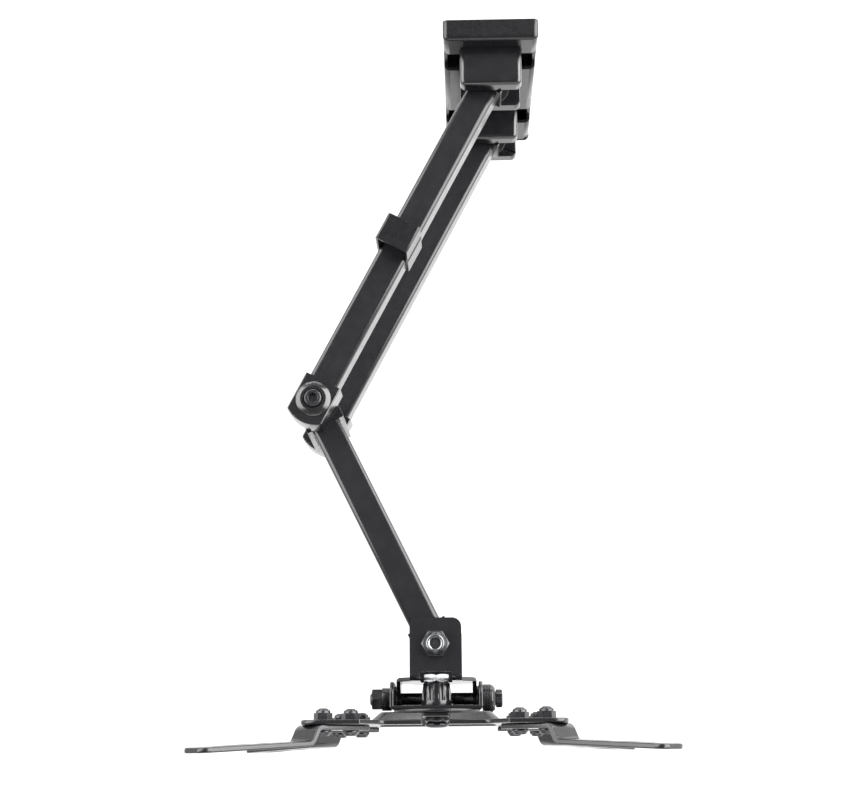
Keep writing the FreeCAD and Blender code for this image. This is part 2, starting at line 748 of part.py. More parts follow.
def make_tube(name, spot, level, start, end):
    body = new_body(name)

    def draw_tube(d):
        d.box(-tube_half, -tube_half, tube_half, tube_half)
        d.box(-tube_inner, -tube_inner, tube_inner, tube_inner)

    pad(body, "tube", "XZ_Plane", start, draw_tube, end - start)
    soften(body, "corners", S.tube_corner,
           lambda e: runs(e, "y") and near(abs(e.CenterOfMass.x), tube_half))
    place(body, spot, level)
    return keep(name, body)


def make_elbow_block(name, level):
    body = new_body(name)
    half = S.elbow_block_width / 2
    tall = S.elbow_block_height / 2

    def draw_block(d):
        d.tongue(half, S.elbow_block_tail, -S.elbow_block_nose, S.elbow_block_bulge, -1)

    pad(body, "block", "XY_Plane", -tall, draw_block, S.elbow_block_height)

    def draw_spigot(d):
        d.box(-spigot_half, -spigot_half, spigot_half, spigot_half)

    pad(body, "spigot", "XZ_Plane", -S.elbow_block_tail - S.spigot_length, draw_spigot,
        S.spigot_length)
    soften(body, "corners", S.edge_break * 2,
           lambda e: runs(e, "z") and near(abs(e.CenterOfMass.x), half)
           and near(e.CenterOfMass.y, -S.elbow_block_nose))
    soften(body, "rim", S.edge_break,
           lambda e: near(abs(e.CenterOfMass.z), tall) and not near(e.CenterOfMass.x, 0)
           and abs(e.CenterOfMass.x) > half.value - 0.2)

    def draw_hole(d):
        d.circle(0, 0, S.pin_diameter / 2 + S.fixed_gap)

    cut(body, "bolt_hole", "XY_Plane", -tall - 1, draw_hole, S.elbow_block_height + 2)
    place(body, "rear elbow", level)
    return keep(name, body)


make_wall_knuckle("upper_wall_knuckle", arm_level)
make_wall_knuckle("lower_wall_knuckle", -arm_level)
rear_end = S.rear_arm_length - S.elbow_block_tail
make_tube("upper_rear_arm", "wall hinge", arm_level, S.wall_knuckle_tail, rear_end)
make_tube("lower_rear_arm", "wall hinge", -arm_level, S.wall_knuckle_tail, rear_end)
make_elbow_block("upper_elbow_block", arm_level)
make_elbow_block("lower_elbow_block", -arm_level)

# Cable clip: hooked under the upper rear arm, with the cables' room above it.
cable_clip = new_body("cable_clip")
clip_in = tube_half
clip_out = tube_half + S.clip_wall
clip_top = tube_half + S.clip_rise


def draw_clip(d):
    d.polygon([(-clip_out, clip_top), (-clip_out, -clip_in), (-clip_in, -clip_in),
               (-clip_in, clip_top - S.clip_wall), (clip_in, clip_top - S.clip_wall),
               (clip_in, -clip_in), (clip_in - S.clip_lip, -clip_in),
               (clip_in - S.clip_lip, -clip_out), (clip_out, -clip_out), (clip_out, clip_top)])


pad(cable_clip, "band", "XZ_Plane", S.clip_start, draw_clip, S.clip_length)
soften(cable_clip, "corners", S.clip_wall,
       lambda e: runs(e, "y") and near(e.CenterOfMass.z, clip_top))
place(cable_clip, "wall hinge", arm_level)
keep("cable_clip", cable_clip)

# Elbow bolt with its cup washer, washers and nut.
block_top = arm_level + S.elbow_block_height / 2
block_under = arm_level - S.elbow_block_height / 2
cup_top = block_top + S.cup_height

elbow_cup_washer = new_body("elbow_cup_washer")
bolt_clear = S.pin_diameter / 2 + S.fixed_gap
turn_profile(elbow_cup_washer, "cup", [
    (bolt_clear, block_top), (S.cup_diameter / 2, block_top),
    (S.cup_diameter / 2, block_top + 0.6), (S.cup_top / 2, cup_top),
    (S.elbow_head / 2 + 0.9, cup_top), (S.elbow_head / 2 + 0.5, cup_top - 0.8),
    (bolt_clear, cup_top - 0.8)])
place(elbow_cup_washer, "rear elbow")
keep("elbow_cup_washer", elbow_cup_washer)

elbow_bolt = new_body("elbow_bolt")
shank = S.pin_diameter / 2
seat = cup_top - 0.8
head = S.elbow_head / 2
nut_under = -(block_top + S.nut_height)
turn_profile(elbow_bolt, "bolt", [
    (ZERO, nut_under - 1.5), (shank - 0.8, nut_under - 1.5), (shank, nut_under - 0.7),
    (shank, seat), (head, seat), (head, seat + S.elbow_head_height - 0.7),
    (head - 0.7, seat + S.elbow_head_height), (ZERO, seat + S.elbow_head_height)])


def draw_elbow_socket(d):
    d.hexagon(ZERO, ZERO, S.socket_flats)


cut(elbow_bolt, "socket", "XY_Plane", seat + S.elbow_head_height - S.socket_depth,
    draw_elbow_socket, S.socket_depth + 1)
place(elbow_bolt, "rear elbow")
keep("elbow_bolt", elbow_bolt)
keep("elbow_nut", nut("elbow_nut", S.nut_flats, S.nut_height, S.pin_diameter / 2 + S.fixed_gap,
                      "rear elbow", nut_under))
keep("elbow_washers", compound("elbow_washers", [
    ring("elbow_washer_upper", S.elbow_washer, bolt_clear, S.elbow_washer_height,
         "rear elbow", knuckle_top),
    ring("elbow_washer_lower", S.elbow_washer, bolt_clear, S.elbow_washer_height,
         "rear elbow", -block_under)]))


# Front arms: two tubes between tall end blocks.
def make_front_knuckle(name, spot, tail_sign, nose, bulge):
    """Tall end block; the tubes leave it on the side that tail_sign gives."""
    body = new_body(name)
    half = S.front_knuckle_width / 2
    tunnel = half - S.knuckle_side
    tunnel_half = front_level - tube_half

    def draw_block(d):
        d.tongue(half, S.front_knuckle_tail * tail_sign, nose, bulge, -tail_sign)

    pad(body, "block", "XY_Plane", -knuckle_top, draw_block, S.front_knuckle_height)
    soften(body, "corners", S.edge_break,
           lambda e: runs(e, "z") and near(abs(e.CenterOfMass.x), half)
           and near(e.CenterOfMass.y, S.front_knuckle_tail * tail_sign))

    def draw_tunnel(d):
        d.box(-tunnel, -tunnel_half, tunnel, tunnel_half)

    reach = S.front_knuckle_tail + S.front_knuckle_width
    cut(body, "tunnel", "XZ_Plane", -reach, draw_tunnel, reach * 2)

    def draw_spigots(d):
        for sign in (1, -1):
            level = front_level * sign
            d.box(-spigot_half, level - spigot_half, spigot_half, level + spigot_half)

    if tail_sign < 0:
        start = S.front_knuckle_tail
    else:
        start = -S.front_knuckle_tail - S.spigot_length
    pad(body, "spigots", "XZ_Plane", start, draw_spigots, S.spigot_length)

    def draw_hole(d):
        d.circle(0, 0, pin_hole)

    cut(body, "bolt_hole", "XY_Plane", -knuckle_top - 1, draw_hole, S.front_knuckle_height + 2)
    place(body, spot)
    return keep(name, body)


make_front_knuckle("elbow_knuckle", "front elbow", -1, S.elbow_nose, S.elbow_nose_bulge)
make_front_knuckle("head_knuckle", "front head", 1, Size(0, "0 * Sizes.elbow_nose"),
                   S.front_knuckle_width / 2)
front_end = S.front_arm_length - S.front_knuckle_tail
make_tube("upper_front_arm", "front elbow", front_level, S.front_knuckle_tail, front_end)
make_tube("lower_front_arm", "front elbow", -front_level, S.front_knuckle_tail, front_end)

# Swivel bracket: one folded sheet with two flanges, a web and two cheeks.
flange_under = knuckle_top + S.washer_height
flange_top = flange_under + S.swivel_gauge
web_back = -S.swivel_web
web_front = -S.swivel_web - S.swivel_gauge
flange_half = S.flange_width / 2
web_half = S.swivel_web_width / 2
cheek_inner = web_half - S.swivel_gauge
bend_in = S.bend_radius - S.swivel_gauge

swivel_bracket = new_body("swivel_bracket")


def draw_hook(d):
    d.polygon([(S.flange_back, flange_under), (S.flange_back, flange_top),
               (web_front, flange_top), (web_front, -flange_top),
               (S.flange_back, -flange_top), (S.flange_back, -flange_under),
               (web_back, -flange_under), (web_back, flange_under)])


pad(swivel_bracket, "flanges", "YZ_Plane", -flange_half, draw_hook, S.flange_width)
soften(swivel_bracket, "outer_bends", S.bend_radius,
       lambda e: runs(e, "x") and near(e.CenterOfMass.y, web_front))
soften(swivel_bracket, "inner_bends", bend_in,
       lambda e: runs(e, "x") and near(e.CenterOfMass.y, web_back))
soften(swivel_bracket, "flange_corners", S.flange_corner,
       lambda e: runs(e, "z") and near(e.CenterOfMass.y, S.flange_back))


def draw_wide_web(d):
    tall = S.swivel_web_height / 2
    step = web_half - flange_half
    d.polygon([(-web_half, -tall + step * 0.5), (-flange_half, -tall - step * 0.5),
               (flange_half, -tall - step * 0.5), (web_half, -tall + step * 0.5),
               (web_half, tall - step * 0.5), (flange_half, tall + step * 0.5),
               (-flange_half, tall + step * 0.5), (-web_half, tall - step * 0.5)])


pad(swivel_bracket, "web", "XZ_Plane", S.swivel_web, draw_wide_web, S.swivel_gauge)


def draw_cheek(d):
    tall = S.swivel_web_height / 2 - (web_half - flange_half) * 0.5
    end = S.cheek_end
    d.polygon([(web_back, -tall), (web_front, -tall), (-S.tilt_axis, -end),
               (-S.tilt_axis - end, -end), (-S.tilt_axis - end, end),
               (-S.tilt_axis, end), (web_front, tall), (web_back, tall)])


pad(swivel_bracket, "left_cheek", "YZ_Plane", -web_half, draw_cheek, S.swivel_gauge)
pad(swivel_bracket, "right_cheek", "YZ_Plane", cheek_inner, draw_cheek, S.swivel_gauge)
soften(swivel_bracket, "cheek_ends", S.cheek_end * 0.995,
       lambda e: runs(e, "x") and near(e.CenterOfMass.y, -S.tilt_axis - S.cheek_end))
soften(swivel_bracket, "cheek_bends", S.bend_radius * 0.5,
       lambda e: runs(e, "z") and near(e.CenterOfMass.y, web_back)
       and near(abs(e.CenterOfMass.x), web_half))


def draw_swivel_hole(d):
    d.circle(0, 0, bolt_clear)


cut(swivel_bracket, "bolt_holes", "XY_Plane", -flange_top - 1, draw_swivel_hole,
    flange_top * 2 + 2)


def draw_rod_hole(d):
    d.circle(-S.tilt_axis, 0, S.rod_diameter / 2 + S.running_gap)


cut(swivel_bracket, "rod_holes", "YZ_Plane", -web_half - 1, draw_rod_hole, web_half * 2 + 2)


def draw_notch(d):
    half = S.notch_width / 2
    d.box(-half, S.notch_floor, half, flange_top + 1)


cut(swivel_bracket, "nut_window", "XZ_Plane", S.swivel_web - S.notch_reach, draw_notch,
    S.notch_reach + S.swivel_gauge + 1)
place(swivel_bracket, "head")
keep("swivel_bracket", swivel_bracket)

# Swivel bolt from below, with its nut on top.
swivel_bolt = new_body("swivel_bolt")
bolt_head = S.nut_flats / 2
bolt_top = flange_top + S.nut_height - 1.0
swivel_head_under = -flange_top - S.swivel_head_height
turn_profile(swivel_bolt, "bolt", [
    (ZERO, swivel_head_under), (bolt_head - 1.6, swivel_head_under),
    (bolt_head, swivel_head_under + 1.6), (bolt_head, -flange_top), (shank, -flange_top),
    (shank, bolt_top - 1.2), (shank - 1.2, bolt_top), (ZERO, bolt_top)])


def draw_swivel_socket(d):
    d.hexagon(ZERO, ZERO, S.socket_flats)


cut(swivel_bolt, "socket", "XY_Plane", swivel_head_under - 1, draw_swivel_socket,
    S.socket_depth + 1)
place(swivel_bolt, "head")
keep("swivel_bolt", swivel_bolt)


def make_swivel_nut():
    """Hex lock nut whose round collar closes over the end of the bolt."""
    hex_height = S.nut_height * 0.7
    body = nut("swivel_nut", S.nut_flats, hex_height, bolt_clear, "head", flange_top)
    collar = S.nut_collar / 2
    turn_profile(body, "collar", [
        (bolt_clear, hex_height - 0.6), (collar, hex_height - 0.6), (collar, hex_height + 0.6),
        (collar - 1.7, S.nut_height), (bolt_clear - 0.1, S.nut_height),
        (bolt_clear - 0.1, S.nut_height - 0.6), (bolt_clear, S.nut_height - 0.6)])
    return body


keep("swivel_nut", make_swivel_nut())
keep("swivel_washers", compound("swivel_washers", [
    ring("swivel_washer_upper", S.front_knuckle_width - 0.8, bolt_clear, S.washer_height,
         "head", knuckle_top),
    ring("swivel_washer_lower", S.front_knuckle_width - 0.8, bolt_clear, S.washer_height,
         "head", -flange_under)]))

# Tilt frame: a folded channel outside the swivel bracket's cheeks.
tilt_inner = web_half + S.tilt_washer_height
tilt_outer = tilt_inner + S.tilt_gauge
tilt_face = -S.tilt_web - S.tilt_web_gauge
tilt_frame = new_body("tilt_frame")


def draw_tilt_web(d):
    d.box(-tilt_outer, S.tilt_web_floor, tilt_outer, S.tilt_top)


def draw_tilt_cheek(d):
    d.polygon([(-S.tilt_back, -S.tilt_bottom), (tilt_face, -S.tilt_bottom),
               (tilt_face, S.tilt_top), (-S.tilt_back, S.tilt_top)])


pad(tilt_frame, "web", "XZ_Plane", S.tilt_web, draw_tilt_web, S.tilt_web_gauge)
pad(tilt_frame, "left_cheek", "YZ_Plane", -tilt_outer, draw_tilt_cheek, S.tilt_gauge)
pad(tilt_frame, "right_cheek", "YZ_Plane", tilt_inner, draw_tilt_cheek, S.tilt_gauge)
soften(tilt_frame, "bends", S.tilt_gauge * 0.9,
       lambda e: runs(e, "z") and near(e.CenterOfMass.y, tilt_face)
       and near(abs(e.CenterOfMass.x), tilt_outer))
soften(tilt_frame, "cheek_corners", S.tilt_bottom * 0.8,
       lambda e: runs(e, "x") and near(e.CenterOfMass.y, -S.tilt_back))


def draw_level_hole(d):
    d.circle(0, S.level_height, bolt_clear)


cut(tilt_frame, "level_hole", "XZ_Plane", S.tilt_web - 1, draw_level_hole, S.tilt_web_gauge + 2)


def draw_frame_rod_hole(d):
    d.circle(-S.tilt_axis, 0, S.rod_diameter / 2 + S.fixed_gap)


cut(tilt_frame, "rod_holes", "YZ_Plane", -tilt_outer - 1, draw_frame_rod_hole, tilt_outer * 2 + 2)
place(tilt_frame, "head")
keep("tilt_frame", tilt_frame)

# Tilt bolt along X: nut and spacer on the left, round knob and hex head on the right.
ALONG_X = ((0, 1, 0), 90.0)
TOWARDS_TV = ((1, 0, 0), 90.0)
rod_spot = (ZERO, -S.tilt_axis)
rod = S.rod_diameter / 2
rod_left = -tilt_outer - S.spacer_length - S.tilt_nut_height - 1.2
knob_end = tilt_outer + S.knob_length
tilt_bolt = new_body("tilt_bolt")
turn_profile(tilt_bolt, "rod", [
    (ZERO, rod_left), (rod - 0.8, rod_left), (rod, rod_left + 0.8), (rod, knob_end),
    (ZERO, knob_end)])


def draw_tilt_head(d):
    d.hexagon(ZERO, ZERO, S.tilt_head_flats)


pad(tilt_bolt, "head", "XY_Plane", knob_end, draw_tilt_head, S.tilt_head_height)
tilt_head_end = knob_end + S.tilt_head_height
bevel_in = S.tilt_head_flats / 2 * 0.95
bevel_out = S.tilt_head_flats / 2 * 1.25
turn_profile(tilt_bolt, "head_bevel", [
    (bevel_in, tilt_head_end + 0.01), (bevel_out, tilt_head_end - (bevel_out - bevel_in) * 0.57735),
    (bevel_out, tilt_head_end + 0.01)], True)
place(tilt_bolt, "head", 0, ALONG_X, rod_spot)
keep("tilt_bolt", tilt_bolt)

rod_clear = rod + S.fixed_gap
tilt_knob = new_body("tilt_knob")
knob_out = S.knob_diameter / 2
turn_profile(tilt_knob, "knob", [
    (rod_clear, tilt_outer), (knob_out - 0.8, tilt_outer), (knob_out, tilt_outer + 0.8),
    (knob_out, knob_end - 2), (knob_out - 2, knob_end), (rod_clear, knob_end)])
place(tilt_knob, "head", 0, ALONG_X, rod_spot)
keep("tilt_knob", tilt_knob)


def x_spot(start):
    return (start, -S.tilt_axis)


keep("tilt_spacer", ring("tilt_spacer", S.spacer_diameter, rod_clear, S.spacer_length, "head", 0,
                         ALONG_X, x_spot(-tilt_outer - S.spacer_length)))
keep("tilt_nut", nut("tilt_nut", S.tilt_nut_flats, S.tilt_nut_height, rod_clear, "head", 0,
                     ALONG_X, x_spot(-tilt_outer - S.spacer_length - S.tilt_nut_height)))
keep("tilt_friction_washers", compound("tilt_friction_washers", [
    ring("tilt_washer_left", S.tilt_washer, rod_clear, S.tilt_washer_height, "head", 0,
         ALONG_X, x_spot(-tilt_inner)),
    ring("tilt_washer_right", S.tilt_washer, rod_clear, S.tilt_washer_height, "head", 0,
         ALONG_X, x_spot(web_half))]))

# Level bolt along Y through the tilt frame and the TV plate.
pan_back = -tilt_face + S.disc_height
pan_front = pan_back + S.vesa_gauge
cone_start = S.tilt_web - S.cone_length
lock_start = cone_start - S.lock_nut_height
level_bolt = new_body("level_bolt")
button = S.level_head / 2
turn_profile(level_bolt, "bolt", [
    (ZERO, lock_start + 0.4), (shank - 0.8, lock_start + 0.4), (shank, lock_start + 1.2),
    (shank, pan_front), (button, pan_front), (button, pan_front + S.level_head_height * 0.4),
    (button * 0.68, pan_front + S.level_head_height), (ZERO, pan_front + S.level_head_height)])


def draw_level_socket(d):
    d.hexagon(ZERO, ZERO, S.socket_flats)


cut(level_bolt, "socket", "XY_Plane", pan_front + S.level_head_height - S.socket_depth,
    draw_level_socket, S.socket_depth + 1)
place(level_bolt, "head", S.level_height, TOWARDS_TV)
keep("level_bolt", level_bolt)
keep("level_lock_nut", nut("level_lock_nut", S.nut_flats, S.lock_nut_height, bolt_clear, "head",
                           S.level_height, TOWARDS_TV, (ZERO, -lock_start), True))
keep("level_friction_disc", ring("level_friction_disc", S.disc_diameter, bolt_clear, S.disc_height,
                                 "head", S.level_height, TOWARDS_TV, (ZERO, tilt_face)))

# Fluted level nut: a cone with eight flutes down its side.
level_cone_nut = new_body("level_cone_nut")
turn_profile(level_cone_nut, "cone", [
    (bolt_clear, cone_start), (S.cone_small / 2 - 0.8, cone_start),
    (S.cone_small / 2, cone_start + 0.8), (S.cone_large / 2, S.tilt_web - 2.2),
    (S.cone_large / 2, S.tilt_web), (bolt_clear, S.tilt_web)])


def draw_flutes(d):
    ring_radius = S.cone_small / 2 + 1.6
    for index in range(8):
        angle = math.radians(index * 45 + 22.5)
        d.circle(ring_radius * round(math.cos(angle), 6), ring_radius * round(math.sin(angle), 6),
                 Size(2.2, "2.2"))


cut(level_cone_nut, "flutes", "XY_Plane", cone_start - 1, draw_flutes, S.cone_length - 2.4)
place(level_cone_nut, "head", S.level_height, TOWARDS_TV)
keep("level_cone_nut", level_cone_nut)

# TV plate: a pressed pan in the middle of a sheet with four ears.
vesa_plate = new_body("vesa_plate")
sheet_back = pan_back + S.pan_depth
sheet_front = sheet_back + S.vesa_gauge


def draw_ears(d):
    edge = S.vesa_half
    ear = S.vesa_ear
    waist = S.vesa_waist
    half = S.vesa_waist_half
    d.polygon([(edge, edge), (ear, edge), (half, waist), (-half, waist), (-ear, edge),
               (-edge, edge), (-edge, ear), (-waist, half), (-waist, -half), (-edge, -ear),
               (-edge, -edge), (-ear, -edge), (-half, -waist), (half, -waist), (ear, -edge),
               (edge, -edge), (edge, -ear), (waist, -half), (waist, half), (edge, ear)])


def draw_pan_outer(d):
    d.box(-S.pan_rim, -S.pan_rim, S.pan_rim, S.pan_rim)


def draw_pan_inner(d):
    inner = S.pan_rim - S.vesa_gauge * 0.55
    d.box(-inner, -inner, inner, inner)


pad(vesa_plate, "ears", "XZ_Plane", sheet_back, draw_ears, S.vesa_gauge)
soften(vesa_plate, "ear_corners", S.vesa_corner,
       lambda e: runs(e, "y") and near(abs(e.CenterOfMass.x), S.vesa_half)
       and near(abs(e.CenterOfMass.z), S.vesa_half))
soften(vesa_plate, "ear_bends", S.vesa_corner * 0.5,
       lambda e: runs(e, "y")
       and max(abs(e.CenterOfMass.x), abs(e.CenterOfMass.z)) < S.vesa_waist.value + 0.1)
lean = math.degrees(math.atan2((S.pan_rim - S.pan_half).value, S.pan_depth.value))
lean_text = "atan((Sizes.pan_rim - Sizes.pan_half) / Sizes.pan_depth)"
drawing = Drawing(vesa_plate, "XZ_Plane", sheet_back, "vesa_plate_pan_sketch")
draw_pan_outer(drawing)
pan = vesa_plate.newObject("PartDesign::Pad", "vesa_plate_pan")
pan.Profile = drawing.sketch
pan.Reversed = True
pan.setExpression("Length", S.pan_depth.text)
pan.TaperAngle = -lean
pan.setExpression("TaperAngle", "-" + lean_text)
vesa_plate.Tip = pan
soften(vesa_plate, "pan_corners", S.vesa_corner * 0.8,
       lambda e: len(e.Vertexes) == 2 and abs(e.Vertexes[0].Point.y - e.Vertexes[1].Point.y) > 4
       and abs(e.CenterOfMass.x) < S.pan_rim.value and abs(e.CenterOfMass.z) < S.pan_rim.value)
soften(vesa_plate, "pan_round", S.pan_round,
       lambda e: near(e.BoundBox.YMin, -pan_back) and near(e.BoundBox.YMax, -pan_back)
       and max(abs(e.CenterOfMass.x), abs(e.CenterOfMass.z)) > S.pan_half.value - 6)
drawing = Drawing(vesa_plate, "XZ_Plane", sheet_front, "vesa_plate_hollow_sketch")
draw_pan_inner(drawing)
hollow = vesa_plate.newObject("PartDesign::Pocket", "vesa_plate_hollow")
hollow.Profile = drawing.sketch
hollow.setExpression("Length", S.pan_depth.text)
hollow.TaperAngle = -lean
hollow.setExpression("TaperAngle", "-" + lean_text)
vesa_plate.Tip = hollow


def draw_pan_notch(d):
    half = S.pan_notch / 2
    d.box(-half, S.pan_notch_floor, half, S.vesa_waist + 1)


cut(vesa_plate, "head_notch", "XZ_Plane", pan_back - 1, draw_pan_notch,
    S.pan_depth + S.vesa_gauge + 2)


def draw_plate_holes(d):
    d.circle(0, 0, S.pin_diameter / 2 + S.running_gap)
    for across in (1, -1):
        for up in (1, -1):
            for offset in (S.screw_inner, S.screw_outer):
                d.circle(offset * across, offset * up, S.screw_diameter / 2 + S.fixed_gap)


cut(vesa_plate, "holes", "XZ_Plane", pan_back - 1, draw_plate_holes,
    S.pan_depth + S.vesa_gauge + 2)
place(vesa_plate, "head", S.level_height)
keep("vesa_plate", vesa_plate)

# Four adapter arms at 45 degrees, each a strip with a joggle.
strip_back = -sheet_front - 0.1


def make_adapter_arm(name, degrees):
    body = new_body(name)
    half = S.strip_width / 2
    bend = S.strip_bend
    second = S.strip_bend + S.strip_run
    low = strip_back - S.strip_drop
    tip = low - S.strip_lean
    gauge = S.strip_gauge

    def draw_strip(d):
        d.polygon([(S.strip_inner, strip_back), (bend, strip_back), (second, low),
                   (S.strip_outer, tip), (S.strip_outer, tip - gauge),
                   (second - gauge * 0.55, low - gauge), (bend - gauge * 0.6, strip_back - gauge),
                   (S.strip_inner, strip_back - gauge)])

    pad(body, "strip", "XY_Plane", -half, draw_strip, S.strip_width)
    bend_inside = S.strip_bend_radius - S.strip_gauge
    soften(body, "first_bend_back", S.strip_bend_radius,
           lambda e: runs(e, "z") and near(e.CenterOfMass.x, bend))
    soften(body, "first_bend_front", bend_inside,
           lambda e: runs(e, "z") and near(e.CenterOfMass.x, bend - gauge * 0.6))
    soften(body, "second_bend_front", S.strip_bend_radius,
           lambda e: runs(e, "z") and near(e.CenterOfMass.x, second - gauge * 0.55))
    soften(body, "second_bend_back", bend_inside,
           lambda e: runs(e, "z") and near(e.CenterOfMass.x, second))
    soften(body, "tip", S.strip_corner,
           lambda e: runs(e, "y") and near(e.CenterOfMass.x, S.strip_outer))
    soften(body, "inner_end", S.strip_corner * 0.4,
           lambda e: runs(e, "y") and near(e.CenterOfMass.x, S.strip_inner))
    root = 2.0 ** 0.5

    def draw_holes(d):
        d.circle(S.screw_inner * root, 0, S.screw_diameter / 2 + S.fixed_gap)
        d.circle(S.screw_outer * root, 0, S.screw_diameter / 2 + S.fixed_gap)
        d.circle(S.vesa_pitch / 2 * root, 0, S.vesa_hole / 2)
        d.slot(S.slot_start, S.slot_start + S.slot_length, S.vesa_hole / 2)

    cut(body, "holes", "XZ_Plane", -strip_back - 1, draw_holes,
        S.strip_drop + S.strip_lean + gauge + 2)
    place(body, "head", S.level_height, ((0, 1, 0), degrees))
    return keep(name, body)


make_adapter_arm("upper_right_adapter_arm", -45.0)
make_adapter_arm("upper_left_adapter_arm", -135.0)
make_adapter_arm("lower_right_adapter_arm", 45.0)
make_adapter_arm("lower_left_adapter_arm", 135.0)

# Adapter screws and nuts, two through each ear.
strip_face = -strip_back + S.strip_gauge
nut_back = sheet_back - S.screw_nut_height


def make_screw(name, offset):
    body = new_body(name)
    radius = S.screw_diameter / 2
    button_radius = S.screw_head / 2
    turn_profile(body, "screw", [
        (ZERO, nut_back - 0.8), (radius - 0.6, nut_back - 0.8), (radius, nut_back - 0.2),
        (radius, strip_face), (button_radius, strip_face),
        (button_radius, strip_face + S.screw_head_height * 0.35),
        (button_radius * 0.65, strip_face + S.screw_head_height),
        (ZERO, strip_face + S.screw_head_height)])

    def draw_socket(d):
        d.hexagon(ZERO, ZERO, S.screw_diameter * 0.67)

    cut(body, "socket", "XY_Plane", strip_face + S.screw_head_height * 0.4, draw_socket,
        S.screw_head_height)
    place(body, "head", S.level_height + offset, TOWARDS_TV, (offset, ZERO))
    return body


def make_screw_nut(name, offset):
    body = new_body(name)
    collar = S.screw_nut_flats / 2 * 0.9
    bore = S.screw_diameter / 2 + S.fixed_gap
    hex_height = S.screw_nut_height * 0.68

    def draw_hex(d):
        d.hexagon(ZERO, ZERO, S.screw_nut_flats)

    pad(body, "hex", "XY_Plane", S.screw_nut_height - hex_height, draw_hex, hex_height)
    turn_profile(body, "collar", [
        (ZERO, Size(0, "0")), (collar - 0.8, Size(0, "0")),
        (collar, Size(0.8, "0.8")), (collar, S.screw_nut_height - hex_height + 0.5),
        (ZERO, S.screw_nut_height - hex_height + 0.5)])

    def draw_bore(d):
        d.circle(0, 0, bore)

    cut(body, "bore", "XY_Plane", Size(-1, "-1"), draw_bore, S.screw_nut_height + 2)
    place(body, "head", S.level_height + offset, TOWARDS_TV, (offset, -nut_back))
    return body


def four_ways(name, inner, outer):
    """Repeats an upper right pair at all four ears."""
    right = compound(name + "_upper_right", [inner, outer])
    left = mirrored(name + "_upper_left", right, (1, 0, 0), (head_x, 0, 0))
    top = compound(name + "_upper", [right, left])
    bottom = mirrored(name + "_lower", top, (0, 0, 1), (0, 0, S.level_height))
    return compound(name, [top, bottom])


keep("adapter_screws", four_ways("adapter_screws", make_screw("screw_inner_body", S.screw_inner),
                                 make_screw("screw_outer_body", S.screw_outer)))
keep("adapter_nuts", four_ways("adapter_nuts", make_screw_nut("nut_inner_body", S.screw_inner),
                               make_screw_nut("nut_outer_body", S.screw_outer)))

doc.recompute()

problems = []
for thing in doc.Objects:
    if "Invalid" in thing.State or "Error" in thing.State:
        problems.append("%s is %s" % (thing.Name, ", ".join(thing.State)))
for name, thing in NODES.items():
    shape = thing.Shape
    if shape.isNull() or not shape.isValid() or not shape.Solids:
        problems.append("%s has no valid solid" % name)
if problems:
    raise RuntimeError("; ".join(problems))
for name, thing in NODES.items():
    thing.Shape.exportStep("parts/%s.step" % name)
    print("%-26s %2d solid(s) %10.1f mm3" % (name, len(thing.Shape.Solids), thing.Shape.Volume))
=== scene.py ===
import json
import math

import bmesh
import bpy
from mathutils import Matrix, Vector


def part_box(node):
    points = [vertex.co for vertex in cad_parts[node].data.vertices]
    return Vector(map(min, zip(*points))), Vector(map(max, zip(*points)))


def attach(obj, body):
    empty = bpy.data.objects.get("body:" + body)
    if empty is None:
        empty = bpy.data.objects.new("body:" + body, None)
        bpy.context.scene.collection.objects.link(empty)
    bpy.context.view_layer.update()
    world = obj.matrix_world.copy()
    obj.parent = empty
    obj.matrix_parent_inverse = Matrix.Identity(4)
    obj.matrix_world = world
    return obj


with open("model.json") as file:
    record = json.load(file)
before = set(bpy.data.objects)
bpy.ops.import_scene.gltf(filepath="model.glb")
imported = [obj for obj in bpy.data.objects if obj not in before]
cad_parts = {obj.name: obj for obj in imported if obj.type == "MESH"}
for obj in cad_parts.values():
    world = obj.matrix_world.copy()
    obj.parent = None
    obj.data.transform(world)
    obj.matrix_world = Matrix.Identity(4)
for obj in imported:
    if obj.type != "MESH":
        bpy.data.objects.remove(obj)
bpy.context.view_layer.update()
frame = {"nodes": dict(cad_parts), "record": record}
MM = 0.001
scene = bpy.context.scene


# The photograph's camera: it looks almost straight down on the mount.
PHOTO_SIZE = (865, 785)
FOCAL_PX = 1561.3
NADIR_PX = (467.3, 752.4)
ROLL_DEG = 0.5
CAMERA_MM = Vector((-22.2, -483.0, 1057.8))
SENSOR_MM = 36.0
CLIP_M = (0.01, 50.0)


def add_camera():
    centre = Vector((PHOTO_SIZE[0] / 2, PHOTO_SIZE[1] / 2))
    down = Vector((NADIR_PX[0] - centre.x, NADIR_PX[1] - centre.y, FOCAL_PX)).normalized()
    side = Vector((1, 0, 0)) - down * down.x
    side.normalize()
    up = -down
    back = up.cross(side)
    roll = math.radians(ROLL_DEG)
    world_x = side * math.cos(roll) + back * math.sin(roll)
    world_y = back * math.cos(roll) - side * math.sin(roll)
    axes = [Vector((world_x[row], world_y[row], up[row])) for row in range(3)]
    turn = Matrix((axes[0], -axes[1], -axes[2])).transposed()
    data = bpy.data.cameras.new("photo_camera")
    data.sensor_width = SENSOR_MM
    data.lens = FOCAL_PX / PHOTO_SIZE[0] * SENSOR_MM
    data.clip_start, data.clip_end = CLIP_M
    camera = bpy.data.objects.new("photo_camera", data)
    camera.matrix_world = Matrix.Translation(CAMERA_MM * MM) @ turn.to_4x4()
    scene.collection.objects.link(camera)
    scene.camera = camera


# Materials

